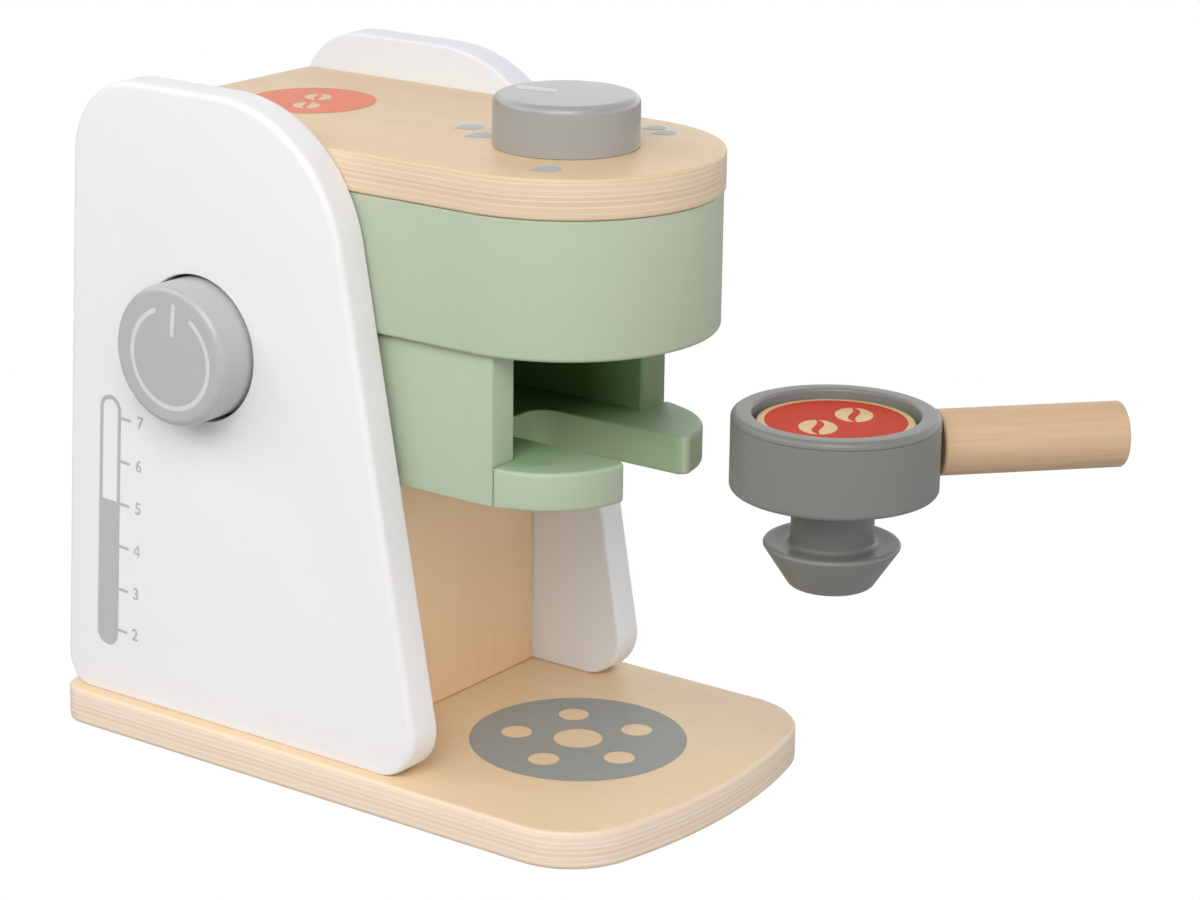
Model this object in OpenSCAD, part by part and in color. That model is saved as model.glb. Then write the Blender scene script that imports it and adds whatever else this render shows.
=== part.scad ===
// Toy coffee maker for children. A wooden machine with a push button and a turning
// dial, and a small cup with a handle that slides into the fork under the head.
// Millimetres. +Z is up, the front faces -Y, +X is to the right.
// The origin is the centre of the base's bottom face.

/* [Boards] */
// Thickness of the plain wooden boards
board_t = 10; // [8:0.5:12]
// Thickness of the painted side panels
panel_t = 10; // [7.5:0.1:12]
// Rounding along the outer edges of the side panels
panel_edge_r = 1.8; // [0.6:0.1:3]
// Rounding along the inner edges of the side panels
panel_inner_r = 1; // [0.4:0.1:2]

/* [Base] */
// How far the base stands out beyond each side panel
base_over = 3.6; // [0:0.2:8]
// Depth of the base along its centre line
base_l = 180; // [160:1:220]
// How far the front edge bows forward in the middle
base_bow = 9.8; // [2:0.1:14]
// Radius of the two front corners of the base
base_corner_r = 21; // [8:0.2:26]
// Radius of the two back corners of the base
base_back_r = 6.5; // [1:0.5:8]

/* [Side panels] */
// How far the side panels stand above the top plate
panel_rise = 10.8; // [6:0.2:16]
// Front edge of a panel at the base
panel_front_low = -31.4; // [-40:0.2:-20]
// Front edge of a panel at the top, before rounding
panel_front_high = -0.9; // [-8:0.1:8]
// How far the back edge leans forward from bottom to top
panel_back_lean = 10.2; // [4:0.2:16]
// Radius of the big corner at the top of the front edge
panel_r_front_high = 40; // [20:0.1:44]
// Radius of the corner at the top of the back edge
panel_r_back_high = 21.2; // [12:0.1:26]
// Radius of the corner at the foot of the front edge
panel_r_front_low = 11.3; // [6:0.1:16]
// Radius of the corner at the foot of the back edge
panel_r_back_low = 8; // [4:0.1:10]

/* [Head and bay] */
// Height of the bay between the base and the fork
bay_h = 72.4; // [60:0.1:90]
// Free height between the top of the cup and the head
cup_over = 8.9; // [8:0.1:14]
// Height of the painted head block
head_h = 34.7; // [28:0.1:40]
// Centre line of the round nose of the top plate and of the head
nose_y = -38.2; // [-44:0.2:-34]
// Front face of the wall behind the bay
wall_y = 0.5; // [-2:0.5:6]
// How far the back edge of the top plate lies ahead of the back edge of the base
top_back_inset = 12.4; // [6:0.1:16]
// Radius of the two back corners of the top plate
top_back_r = 3.5; // [1:0.5:6]

/* [Fork] */
// Gap between the cup and the cheek on each side of it
cup_gap = 1.9; // [1:0.1:3]
// Gap between a cheek and the side panel next to it
cheek_gap = 2.5; // [1:0.2:6]
// Front faces of the two cheeks
cheek_front_y = -43.8; // [-48:0.2:-40]
// Rounding of the upright edges where the cheeks meet the fork
cheek_edge_r = 0.9; // [0.3:0.1:3]
// Front edge of the fork
fork_front_y = -66.8; // [-72:0.2:-62]
// Radius of the outer corners of the fork
fork_corner_r = 24; // [8:0.2:26]
// Gap between the neck of the cup and each side of the slot
slot_gap = 2.2; // [0.6:0.1:3]
// How far the middle of the neck may go into the slot
slot_end_y = -33.6; // [-38:0.2:-30]
// Radius of the corners at the inner end of the slot
slot_corner_r = 6; // [2:0.2:8]
// Rounding at the mouth of the slot
slot_mouth_r = 2.8; // [0.5:0.1:4]

/* [Button] */
// Centre of the button above the floor
button_z = 110.7; // [90:0.1:125]
// Diameter of the button cap
button_d = 36.3; // [30:0.1:44]
// Space between the button's flange and the wall in front of it
button_front_gap = 7.75; // [1:0.05:10]
// Space between the button's flange and the board behind it
button_back_gap = 1.85; // [1:0.05:6]
// Gap all round between the cap and the hole in the panel
button_gap = 0.8; // [0.4:0.1:1.5]
// How far the cap stands out of the panel
button_out = 10.4; // [6:0.2:12]
// Rounding round the face of the button and of the dial
knob_edge_r = 2.2; // [1:0.1:3]
// How far the button can be pressed
button_travel = 4; // [2:0.5:5]
// Diameter of the stem that guides the button
button_stem_d = 8; // [6:0.5:10]

/* [Dial] */
// Diameter of the dial
dial_d = 36.4; // [28:0.1:44]
// Height of the dial
dial_h = 12.5; // [10:0.1:18]
// Diameter of the axle under the dial
dial_axle_d = 10; // [8:0.5:12]
// Gap between the dial and the top plate
dial_lift = 0.3; // [0.2:0.05:0.6]

/* [Cup] */
// Outer diameter of the cup
cup_d = 50; // [42:0.1:60]
// Height of the cup without its neck
cup_h = 19; // [15:0.1:24]
// Width of the flat rim round the recess
rim_w = 5; // [4:0.1:6]
// Depth of the recess
recess_h = 6.2; // [5:0.1:8]
// Thickness of the ring that closes the cup
ring_h = 2; // [1.6:0.1:3]
// Diameter of the neck that slides through the fork
neck_d = 20; // [16:0.1:24]
// Widest diameter of the pouring nose
nose_d = 33; // [30:0.1:40]
// Diameter of the flat end of the pouring nose
nose_tip_d = 20; // [14:0.2:24]
// Rounding round the lower end of the nose
nose_tip_r = 2; // [0.6:0.1:3]
// Distance from the fork's front edge to the middle of the cup drawn out of it
cup_out = 51.2; // [46:0.2:64]
// Diameter of the wooden handle
handle_d = 16; // [12:0.1:19]
// Length of the handle outside the cup
handle_l = 46; // [40:1:100]
// How far the handle is turned from straight ahead to the right
handle_turn = 47; // [38:1:48]

/* [Coffee pad] */
// Gap round the pad in the recess of the cup
pad_gap = 1; // [0.5:0.1:2]
// Thickness of the pad
pad_h = 4; // [3:0.5:5]

/* [Fasteners] */
// Diameter of the wooden pins inside the joints
pin_d = 5; // [4:0.5:6]
// Length of the wooden pins
pin_l = 16; // [12:0.1:20]
// Shank diameter of the wood screws
screw_d = 3.4; // [3:0.1:4]

/* [Fits] */
// Radial clearance of a sliding or turning fit
run_fit = 0.09; // [0.05:0.01:0.1]
// Clearance round pins and screws that are glued or driven in
pin_fit = 0.1; // [0.05:0.01:0.15]

/* [Hidden] */
cup_r = cup_d / 2;
cheek_in = cup_r + cup_gap;
fork_hw = cheek_in + board_t;
half_w = fork_hw + cheek_gap;
inner_w = 2 * half_w;
outer_x = half_w + panel_t;
base_hw = outer_x + base_over;
base_back = base_l / 2;
base_bow_r = (pow(base_hw, 2) + pow(base_bow, 2)) / (2 * base_bow);
fork_z = board_t + bay_h;
fork_top = fork_z + board_t;
cup_z = fork_top + 0.2;
head_z = cup_z + cup_h + cup_over;
plate_z = head_z + head_h;
plate_top = plate_z + board_t;
panel_top = plate_top + panel_rise;
head_r = half_w - 0.5;
slot_w = neck_d + 2 * slot_gap;
top_back_y = base_back - top_back_inset;
wall_back = wall_y + board_t;
// dial axle
axle_pocket_r = dial_axle_d / 2 + 4;
axle_pocket_h = 12;
axle_end_z = plate_z - 0.2;
dial_z = plate_top + dial_lift;
washer_t = 1.2;
// button
cap_r = button_d / 2;
cap_face_x = -outer_x - button_out;
flange_r = cap_r + button_gap + 3;
flange_t = 2.4;
button_y = wall_back + button_front_gap + flange_r;
back_y = button_y + flange_r + button_back_gap;
flange_x = -half_w + 0.15;
cap_back_x = flange_x + flange_t;
block_x = cap_back_x + button_travel + 11;
block_t = 14;
// cup
cup_wall = 3;
cup_out_y = fork_front_y - cup_out;
recess_d = cup_d - 2 * rim_w;
pad_d = recess_d - 2 * pad_gap;
ring_z = cup_z + cup_h - ring_h;
cup_top = cup_z + cup_h;
recess_floor = cup_top - recess_h;
nose_z = cup_z - board_t - 13.8;
nose_rim_z = cup_z - board_t - 2.9;
nose_side = atan2(nose_rim_z - 1.1 - nose_z, nose_d / 2 - 0.2 - nose_tip_d / 2);
nose_flat = nose_tip_d / 2 - nose_tip_r * tan(nose_side / 2);
handle_z = cup_z + cup_h / 2 + 0.9;
seat_r = cup_r + 0.02;
screw_r = cup_r - cup_wall - 0.6;
step_f = 96;

function unit(v) = v / norm(v);
// centre of a corner circle of radius r at p, between the edges to a and to b
function corner(p, a, b, r) = let (u = unit(a - p), h = unit(u + unit(b - p)))
  p + h * r / sqrt(1 - pow(h * u, 2));

// one solid wood screw, head at the origin, shank along +Z
head_sink = 0.3;
module wood_screw(len, head_r) {
  rotate_extrude($fn = step_f)
    polygon([[0, 0], [head_r, 0], [screw_d / 2, head_r - screw_d / 2],
      [screw_d / 2, len - 3], [0.3, len], [0, len]]);
}
// the hole that such a screw sits in, its head sunk a little below the surface
module screw_hole(len, head_r) {
  rs = screw_d / 2 + pin_fit;
  translate([0, 0, -0.01]) rotate_extrude($fn = step_f)
    polygon([[0, 0], [head_r + pin_fit, 0], [head_r + pin_fit, head_sink + 0.05],
      [rs, head_sink + 0.05 + head_r + pin_fit - rs], [rs, len + 0.8], [0, len + 0.8]]);
}
// a round knob on z = 0 with a rounded upper edge
module turned(r, h, e) {
  rotate_extrude($fn = step_f) union() {
    square([r - e, h]);
    square([r, h - e]);
    translate([r - e, h - e]) quarter(e);
  }
}
// quarter disc, used to round an outer edge
module quarter(e) {
  intersection() {
    circle(r = e, $fn = 48);
    square(e);
  }
}

// where the wooden pins sit: [x, y, z, direction], the centre of each pin
side_pins = [for (s = [-1, 1], p = [
    [18, plate_z + board_t / 2], [58, plate_z + board_t / 2],
    [wall_y + board_t / 2, board_t + 26], [wall_y + board_t / 2, head_z + 8],
    [back_y + board_t / 2, board_t + 26], [back_y + board_t / 2, head_z + 8]])
  [s * (half_w + 6 - pin_l / 2), p[0], p[1], "x"]];
cheek_pins = [for (s = [-1, 1], y = [-34, -10]) [s * (cheek_in + board_t / 2), y, head_z, "z"]];
fork_pins = [for (s = [-1, 1]) [s * (cheek_in - 2), -8, fork_z + board_t / 2, "x"]];
head_pins = [for (x = [-24, 24]) [x, -14, plate_z - 2, "z"]];
pins = concat(side_pins, cheek_pins, fork_pins, head_pins);

module pin_set(extra) {
  for (p = pins) translate([p[0], p[1], p[2]])
    rotate(p[3] == "x" ? [0, 90, 0] : [0, 0, 0])
      cylinder(d = pin_d + 2 * extra, h = pin_l + 4 * extra, center = true, $fn = step_f);
}
module pin_holes() { pin_set(pin_fit); }

screw_at = [for (s = [-1, 1], y = [-6, 70]) [s * (half_w + panel_t / 2), y],
  [-22, wall_y + board_t / 2], [22, wall_y + board_t / 2],
  [-22, back_y + board_t / 2], [22, back_y + board_t / 2]];
base_screw_l = board_t + 18;

// outline of the bowed base
module base_outline() {
  bow_y = -base_back + base_bow_r;
  cx = base_hw - base_corner_r;
  cy = bow_y - sqrt(pow(base_bow_r - base_corner_r, 2) - pow(cx, 2));
  k = base_bow_r / (base_bow_r - base_corner_r);
  tx = cx * k;
  ty = bow_y + (cy - bow_y) * k;
  bx = base_hw - base_back_r;
  by = base_back - base_back_r;
  difference() {
    intersection() {
      translate([-base_hw, -base_back - 1]) square([2 * base_hw, base_l + 1]);
      translate([0, bow_y]) circle(r = base_bow_r, $fn = 360);
    }
    for (s = [-1, 1]) {
      difference() {
        polygon([[s * cx, cy], [s * tx, ty], [s * (tx + 0.8), ty - 6],
          [s * (base_hw + 5), ty - 6], [s * (base_hw + 5), cy]]);
        translate([s * cx, cy]) circle(r = base_corner_r, $fn = step_f);
      }
      difference() {
        polygon([[s * bx, by], [s * bx, by + 10], [s * (bx + 10), by + 10], [s * (bx + 10), by]]);
        translate([s * bx, by]) circle(r = base_back_r, $fn = step_f);
      }
    }
  }
}

// outline with a round nose at the front, used by the top plate and the head
module nose_outline(r, back, corner_r) {
  translate([-r, nose_y]) square([2 * r, back - corner_r - nose_y]);
  translate([corner_r - r, nose_y]) square([2 * (r - corner_r), back - nose_y]);
  for (s = [-1, 1]) translate([s * (r - corner_r), back - corner_r])
    circle(r = corner_r, $fn = 48);
  intersection() {
    translate([0, nose_y]) circle(r = r, $fn = 180);
    translate([-r - 1, nose_y - r - 1]) square([2 * r + 2, r + 1]);
  }
}

// side profile of a panel with rounded edges, inner face at x = 0, growing to +X
module panel_body() {
  fl = [panel_front_low, board_t];
  fh = [panel_front_high, panel_top];
  bh = [base_back - panel_back_lean, panel_top];
  bl = [base_back, board_t];
  c = [[corner(fl, fh, bl, panel_r_front_low), panel_r_front_low],
    [corner(fh, bh, fl, panel_r_front_high), panel_r_front_high],
    [corner(bh, bl, fh, panel_r_back_high), panel_r_back_high],
    [corner(bl, fl, bh, panel_r_back_low), panel_r_back_low]];
  e = panel_edge_r;
  ei = panel_inner_r;
  a = [for (i = [0:5]) i * 18];
  hull() for (q = c) translate([0, q[0][0], q[0][1]]) rotate([0, 90, 0])
    rotate_extrude($fn = q[1] > 20 ? 96 : 48) polygon(concat([[0, 0]],
      [for (t = a) [q[1] - ei + ei * sin(t), ei - ei * cos(t)]],
      [for (t = a) [q[1] - e + e * cos(t), panel_t - e + e * sin(t)]], [[0, panel_t]]));
}
module panel_cuts() {
  pin_holes();
  for (p = screw_at) translate([p[0], p[1], 0]) screw_hole(base_screw_l, 3.6);
}

module base_plate() {
  color([0.87, 0.76, 0.6]) difference() {
    linear_extrude(board_t) base_outline();
    for (p = screw_at) translate([p[0], p[1], 0]) screw_hole(base_screw_l, 3.6);
  }
}

module side_panel_left() {
  color([0.93, 0.93, 0.92]) difference() {
    translate([-half_w, 0, 0]) mirror([1, 0, 0]) panel_body();
    translate([-outer_x - 5, button_y, button_z]) rotate([0, 90, 0])
      cylinder(r = cap_r + button_gap, h = panel_t + 10, $fn = step_f);
    panel_cuts();
  }
}

module side_panel_right() {
  color([0.93, 0.93, 0.92]) difference() {
    translate([half_w, 0, 0]) panel_body();
    panel_cuts();
  }
}

module top_plate() {
  color([0.87, 0.76, 0.6]) difference() {
    translate([0, 0, plate_z]) linear_extrude(board_t) nose_outline(half_w, top_back_y, top_back_r);
    translate([0, nose_y, plate_z - 1])
      cylinder(r = dial_axle_d / 2 + run_fit, h = board_t + 2, $fn = step_f);
    pin_holes();
  }
}

module head_block() {
  color([0.7, 0.77, 0.66]) difference() {
    translate([0, 0, head_z]) linear_extrude(head_h) nose_outline(head_r, wall_y, 0.4);
    translate([0, nose_y, plate_z - axle_pocket_h])
      cylinder(r = axle_pocket_r, h = axle_pocket_h + 1, $fn = step_f);
    pin_holes();
  }
}

module cheek(s) {
  e = cheek_edge_r;
  color([0.7, 0.77, 0.66]) difference() {
    translate([s > 0 ? cheek_in : -fork_hw, cheek_front_y, fork_z])
      linear_extrude(head_z - fork_z) union() {
        translate([0, e]) square([board_t, wall_y - cheek_front_y - e]);
        translate([e, 0]) square([board_t - 2 * e, 2 * e]);
        for (x = [e, board_t - e]) translate([x, e]) circle(r = e, $fn = 48);
      }
    pin_holes();
  }
}
module cheek_left() { cheek(-1); }
module cheek_right() { cheek(1); }

module fork_plate() {
  cx = fork_hw - fork_corner_r;
  cy = fork_front_y + fork_corner_r;
  sx = slot_w / 2 - slot_corner_r;
  sy = slot_end_y + sx;
  e = cheek_edge_r;
  color([0.7, 0.77, 0.66]) difference() {
    translate([0, 0, fork_z]) linear_extrude(board_t) difference() {
      union() {
        translate([-cheek_in, cheek_front_y - 1])
          square([2 * cheek_in, wall_y - cheek_front_y + 1]);
        translate([-fork_hw, fork_front_y])
          square([2 * fork_hw, cheek_front_y - fork_front_y]);
      }
      // round outer corners
      for (s = [-1, 1]) difference() {
        translate([s > 0 ? cx : -cx - 40, cy - 40]) square([40, 40]);
        translate([s * cx, cy]) circle(r = fork_corner_r, $fn = step_f);
      }
      // rounding where the two ends meet the cheeks
      for (s = [-1, 1]) difference() {
        translate([s > 0 ? fork_hw - e : -fork_hw - 1, cheek_front_y - e]) square(e + 1);
        translate([s * (fork_hw - e), cheek_front_y - e]) circle(r = e, $fn = 48);
      }
      // slot with a flat inner end and round corners
      translate([-slot_w / 2, fork_front_y - 1]) square([slot_w, sy - fork_front_y + 1]);
      translate([-sx, fork_front_y - 1])
        square([2 * sx, sy + slot_corner_r - fork_front_y + 1]);
      for (s = [-1, 1]) translate([s * sx, sy]) circle(r = slot_corner_r, $fn = step_f);
      // rounding at the mouth
      for (s = [-1, 1]) difference() {
        translate([s > 0 ? slot_w / 2 - 1 : -slot_w / 2 - slot_mouth_r, fork_front_y - 1])
          square([slot_mouth_r + 1, slot_mouth_r + 1]);
        translate([s * (slot_w / 2 + slot_mouth_r), fork_front_y + slot_mouth_r])
          circle(r = slot_mouth_r, $fn = 48);
      }
    }
    pin_holes();
  }
}

module column_wall() {
  color([0.78, 0.63, 0.47]) difference() {
    translate([-half_w, wall_y, board_t]) cube([inner_w, board_t, plate_z - board_t]);
    pin_holes();
    for (p = screw_at) translate([p[0], p[1], 0]) screw_hole(base_screw_l, 3.6);
  }
}

module back_board() {
  color([0.87, 0.76, 0.6]) difference() {
    translate([-half_w, back_y, board_t]) cube([inner_w, board_t, plate_z - board_t]);
    pin_holes();
    for (p = screw_at) translate([p[0], p[1], 0]) screw_hole(base_screw_l, 3.6);
  }
}

// the block between the two boards that guides the stem and carries the spring
module button_block() {
  color([0.82, 0.68, 0.5]) difference() {
    translate([block_x, wall_back, button_z - 14]) cube([block_t, back_y - wall_back, 28]);
    translate([block_x - 1, button_y, button_z]) rotate([0, 90, 0])
      cylinder(r = button_stem_d / 2 + run_fit, h = block_t + 2, $fn = step_f);
    translate([block_x - 1, button_y, button_z]) rotate([0, 90, 0])
      cylinder(r = 8.6, h = 4, $fn = step_f);
  }
}

module power_button() {
  len = cap_back_x - cap_face_x;
  color([0.73, 0.73, 0.72]) translate([cap_back_x, button_y, button_z]) rotate([0, -90, 0])
    difference() {
      union() {
        turned(cap_r, len, knob_edge_r);
        cylinder(r = flange_r, h = flange_t, $fn = step_f);
        translate([0, 0, -button_travel - 11 - block_t + 1])
          cylinder(d = button_stem_d, h = button_travel + 12 + block_t, $fn = step_f);
      }
      // hollow back of the cap, around the stem's boss
      translate([0, 0, -1]) rotate_extrude($fn = step_f)
        translate([7, 0]) square([cap_r - 2.6 - 7, len - 2]);
    }
}

spring_r = 7;
spring_wire = 1.3;
spring_turns = 5;
spring_x0 = cap_back_x + 0.1;
spring_x1 = block_x + 2.9;
module button_spring() {
  pitch = (spring_x1 - spring_x0 - spring_wire) / spring_turns;
  steps = 24;
  w = spring_wire / 2;
  rings = [for (i = [0:spring_turns * steps]) let (t = i / steps)
    [for (k = [0:7]) let (r = spring_r + w * cos(k * 45))
      [spring_x0 + w + pitch * t + w * sin(k * 45), button_y + r * sin(t * 360),
        button_z + r * cos(t * 360)]]];
  n = len(rings);
  pts = [for (r = rings) for (q = r) q];
  faces = concat([[for (k = [7:-1:0]) k]], [[for (k = [0:7]) (n - 1) * 8 + k]],
    [for (i = [0:n - 2], k = [0:7])
      [i * 8 + k, i * 8 + (k + 1) % 8, (i + 1) * 8 + (k + 1) % 8, (i + 1) * 8 + k]]);
  color([0.75, 0.76, 0.78]) polyhedron(points = pts, faces = faces, convexity = 8);
}

module dial_knob() {
  color([0.73, 0.73, 0.72]) translate([0, nose_y, 0]) difference() {
    union() {
      translate([0, 0, dial_z]) turned(dial_d / 2, dial_h, knob_edge_r);
      translate([0, 0, axle_end_z])
        cylinder(d = dial_axle_d, h = dial_z - axle_end_z + 1, $fn = step_f);
    }
    translate([0, 0, dial_z - 1]) rotate_extrude($fn = step_f)
      translate([dial_axle_d / 2 + 2.5, 0])
        square([dial_d / 2 - 2.4 - dial_axle_d / 2 - 2.5, dial_h - 1.6]);
    translate([0, 0, axle_end_z - 0.5])
      cylinder(r = screw_d / 2 + pin_fit, h = 15, $fn = step_f);
  }
}

module dial_washer() {
  color([0.75, 0.76, 0.78]) translate([0, nose_y, axle_end_z - washer_t]) difference() {
    cylinder(r = dial_axle_d / 2 + 3, h = washer_t, $fn = step_f);
    translate([0, 0, -1]) cylinder(r = screw_d / 2 + pin_fit, h = washer_t + 2, $fn = step_f);
  }
}

module dial_screw() {
  color([0.75, 0.76, 0.78]) translate([0, nose_y, axle_end_z - washer_t - 2.2]) union() {
    turned(3.4, 2.2, 0.01 + 0.5);
    cylinder(d = screw_d, h = 15, $fn = step_f);
  }
}

module cup_shell() {
  ri = cup_r - cup_wall;
  rn = neck_d / 2;
  nose_h = nose_rim_z - nose_z;
  nose_fillet = 1.2;
  color([0.46, 0.48, 0.47]) difference() {
    translate([0, cup_out_y, 0]) difference() {
      union() {
        translate([0, 0, cup_z]) rotate_extrude($fn = step_f) union() {
          square([cup_r - 1, cup_h - ring_h]);
          translate([0, 1]) square([cup_r, cup_h - ring_h - 1]);
          translate([cup_r - 1, 1]) circle(r = 1, $fn = 48);
        }
        translate([0, 0, nose_z]) rotate_extrude($fn = step_f) polygon(concat([[0, 0]],
          [for (t = [0:5]) let (a = nose_side * t / 5)
            [nose_flat + nose_tip_r * sin(a), nose_tip_r * (1 - cos(a))]],
          [[nose_d / 2 - 0.2, nose_h - 1.1], [nose_d / 2, nose_h - 0.6],
            [nose_d / 2 - 0.5, nose_h], [nose_d / 2 - 1.4, nose_h]],
          [for (t = [0:5]) [rn + nose_fillet * (1 - sin(18 * t)),
            nose_h - 0.5 + nose_fillet * (1 - cos(18 * t))]],
          [[rn, cup_z - nose_z + 0.5], [0, cup_z - nose_z + 0.5]]));
      }
      // inside of the cup and of the hollow neck
      translate([0, 0, cup_z + 2.6]) cylinder(r = ri, h = cup_h, $fn = step_f);
      translate([0, 0, nose_z + 3])
        cylinder(r = rn - 2.6, h = cup_z - nose_z, $fn = step_f);
    }
    // hole for the handle's screw
    translate([0, cup_out_y, handle_z]) rotate([0, 90, handle_turn - 90])
      translate([0, 0, screw_r]) screw_hole(20, 3);
  }
}

module cup_insert() {
  ri = cup_r - cup_wall;
  rr = recess_d / 2;
  ht = cup_top - ring_z;
  color([0.46, 0.48, 0.47]) translate([0, cup_out_y, 0]) difference() {
    translate([0, 0, ring_z]) rotate_extrude($fn = step_f) union() {
      difference() {
        union() {
          square([cup_r - 1.4, ht]);
          square([cup_r, ht - 1.4]);
          translate([cup_r - 1.4, ht - 1.4]) quarter(1.4);
          translate([0, -3]) square([ri - pin_fit, 3.5]);
          translate([0, ht - recess_h - 1.6]) square([ri - 0.6, recess_h]);
        }
        translate([-1, ht - recess_h]) square([rr + 1, recess_h + 1]);
      }
    }
    // short slot in the floor of the recess
    rotate([0, 0, handle_turn - 90]) translate([rr - 7.5, -1.2, recess_floor - 3])
      cube([6, 2.4, 4]);
  }
}

module handle() {
  color([0.83, 0.69, 0.52]) translate([0, cup_out_y, handle_z])
    rotate([0, 90, handle_turn - 90]) translate([0, 0, seat_r]) difference() {
      turned(handle_d / 2, handle_l, 0.8);
      translate([0, 0, screw_r - seat_r]) screw_hole(20, 3);
    }
}

module handle_screw() {
  color([0.75, 0.76, 0.78]) translate([0, cup_out_y, handle_z])
    rotate([0, 90, handle_turn - 90]) translate([0, 0, screw_r + head_sink])
      wood_screw(20, 3);
}

module coffee_pad() {
  color([0.87, 0.76, 0.6]) translate([0, cup_out_y, recess_floor + 0.05])
    turned(pad_d / 2, pad_h, 0.6);
}

module dowel_pins() {
  color([0.85, 0.74, 0.58]) pin_set(0);
}

module base_screws() {
  color([0.75, 0.76, 0.78]) for (p = screw_at) translate([p[0], p[1], head_sink])
    wood_screw(base_screw_l, 3.6);
}

base_plate();
side_panel_left();
side_panel_right();
top_plate();
head_block();
cheek_left();
cheek_right();
fork_plate();
column_wall();
back_board();
button_block();
power_button();
button_spring();
dial_knob();
dial_washer();
dial_screw();
cup_shell();
cup_insert();
handle();
handle_screw();
coffee_pad();
dowel_pins();
base_screws();
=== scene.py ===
import math

import bmesh
import bpy
from mathutils import Matrix, Vector
from mathutils.geometry import tessellate_polygon


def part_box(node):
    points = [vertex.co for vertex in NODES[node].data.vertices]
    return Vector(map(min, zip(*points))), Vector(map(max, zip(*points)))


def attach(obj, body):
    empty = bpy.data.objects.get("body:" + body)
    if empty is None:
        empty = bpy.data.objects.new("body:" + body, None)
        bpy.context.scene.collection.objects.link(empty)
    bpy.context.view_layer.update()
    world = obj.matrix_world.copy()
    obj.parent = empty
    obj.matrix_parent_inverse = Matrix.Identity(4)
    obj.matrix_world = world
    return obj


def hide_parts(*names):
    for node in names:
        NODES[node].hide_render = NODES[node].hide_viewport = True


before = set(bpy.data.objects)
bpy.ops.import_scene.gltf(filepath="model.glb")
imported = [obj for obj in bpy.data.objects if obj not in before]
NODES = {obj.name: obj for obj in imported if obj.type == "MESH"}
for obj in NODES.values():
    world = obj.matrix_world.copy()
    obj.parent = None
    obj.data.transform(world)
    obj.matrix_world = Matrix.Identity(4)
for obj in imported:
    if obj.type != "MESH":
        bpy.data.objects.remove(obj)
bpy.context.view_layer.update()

MM = 0.001

# ---------------------------------------------------------------- sizes, in millimetres


def span(node):
    """A CAD node's lowest and highest corners, rounded to get rid of its mesh's small errors."""
    return [[round(c / MM, 2) for c in corner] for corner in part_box(node)]


def middle(node, axis):
    low, high = span(node)
    return (low[axis] + high[axis]) / 2


# boards: half widths, levels and the places of their faces, as the frame has them
BASE_HW, BASE_BACK, BASE_TOP = span("base_plate")[1]
HALF, PLATE_BACK, PLATE_TOP = span("top_plate")[1]
PLATE_Z = span("top_plate")[0][2]
OUT, PANEL_TOP = span("side_panel_right")[1][::2]
HEAD_Z = span("head_block")[0][2]
FORK_Z, FORK_TOP = (corner[2] for corner in span("fork_plate"))
WALL_Y, WALL_BACK = (corner[1] for corner in span("column_wall"))
CHEEK_Y = span("cheek_right")[0][1]
CHEEK_OUT = span("cheek_right")[1][0]
BACK_Y = span("back_board")[0][1]
BOARD = BASE_TOP

# the cheeks' inner faces, left and right, which aren't quite even on the photograph
CHEEK_IN = {-1: 27.7, 1: 26.1}

# knobs
NOSE_Y = middle("dial_knob", 1)
DIAL_TOP = span("dial_knob")[1][2]
DIAL_R = 18.2
CAP_X = span("power_button")[0][0]
CAP_Y, CAP_Z, CAP_R = 40.2, 110.7, 18.15
KNOB_EDGE = 2.2

# fork
SLOT, SLOT_BACK, SLOT_R = 12.2, -21.4, 6.0
FRONT, TINE_R, MOUTH_R = -66.8, 24.0, 2.8
FORK_END = CHEEK_Y - 0.05

# cup and pad
CUP_Y = middle("coffee_pad", 1)
CUP_Z = FORK_TOP + 0.2
CUP_R, NECK_R = 25.0, 10.0
RIM_Z = span("cup_insert")[1][2]
NOSE_Z = span("cup_shell")[0][2]
PAD_Z = span("coffee_pad")[0][2]
PAD_R, PAD_H = 19.0, 4.0

# prints lie this far above their faces
INK = 0.05

# meshes: points of a full turn, and the least angle in degrees that stays a crease
ROUND = 128
CREASE = 32.0

# ---------------------------------------------------------------- shader graphs


def rgb(r, g, b):
    """An sRGB colour given in 0 to 255, as the linear RGBA that a socket takes."""
    out = []
    for c in (r, g, b):
        c /= 255.0
        out.append(c / 12.92 if c <= 0.04045 else ((c + 0.055) / 1.055) ** 2.4)
    return (*out, 1.0)


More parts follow.
